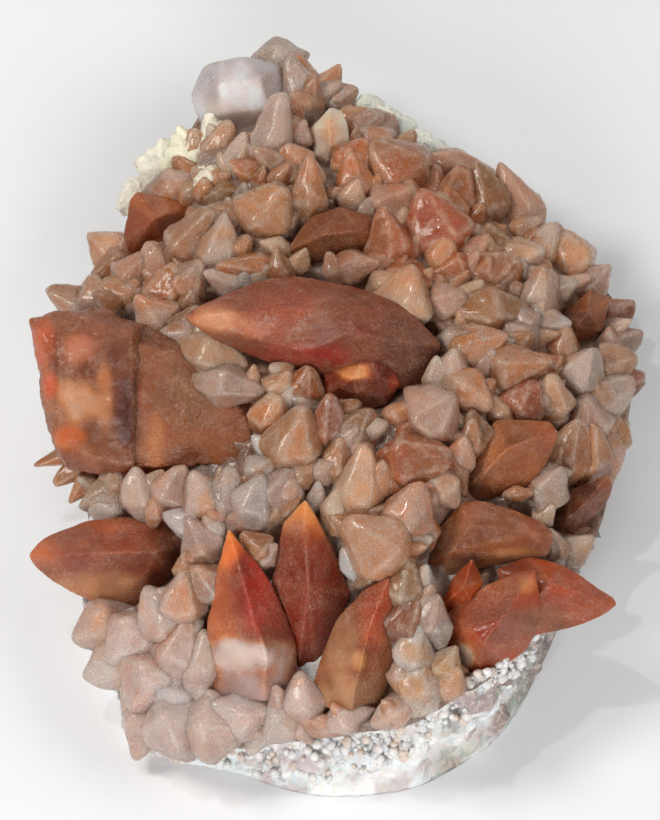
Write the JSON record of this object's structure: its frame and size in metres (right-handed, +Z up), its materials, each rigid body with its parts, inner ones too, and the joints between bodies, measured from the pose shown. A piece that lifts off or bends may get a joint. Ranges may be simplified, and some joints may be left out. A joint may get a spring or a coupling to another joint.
{
  "type": "calcite specimen",
  "caption": "Calcite specimen: amber and orange-red dogtooth crystals standing in a crust of small grey and peach crystals on pale rock.",
  "frame": {"origin": "centre of the bounding box at the flat broken underside that the specimen rests on", "axes": "+Z up out of the crystal crust, -Y toward the broken front edge where the dogtooth crystals stand, +X to the right seen from there"},
  "size_m": [0.1036, 0.1337, 0.0454],
  "materials": {
    "rock": "rough broken pale green-white rock",
    "crust_calcite": "frosted translucent small crystals, grey, mauve, peach and tan",
    "amber_calcite": "translucent amber to brown calcite, glossy to frosted",
    "red_calcite": "translucent orange-red calcite with frosted faces",
    "clear_calcite": "clear cleaved calcite with white cracks"
  },
  "bodies": {
    "root": {"matrix": "rock", "crystal_crust": "crust_calcite", "front_dogtooth_left": "red_calcite", "front_dogtooth_middle": "red_calcite", "front_dogtooth_right": "amber_calcite", "corner_crystals": "amber_calcite", "amber_crystal": "amber_calcite", "edge_crystal": "amber_calcite", "brown_crystal": "amber_calcite", "central_crystals": "red_calcite", "left_dogtooth": "red_calcite", "cleaved_block": "red_calcite", "diamond_crystal": "amber_calcite", "upper_brown_crystal": "amber_calcite", "upper_amber_crystal": "amber_calcite", "right_amber_crystal": "amber_calcite", "clear_crystal": "clear_calcite"}
  },
  "joints": []
}
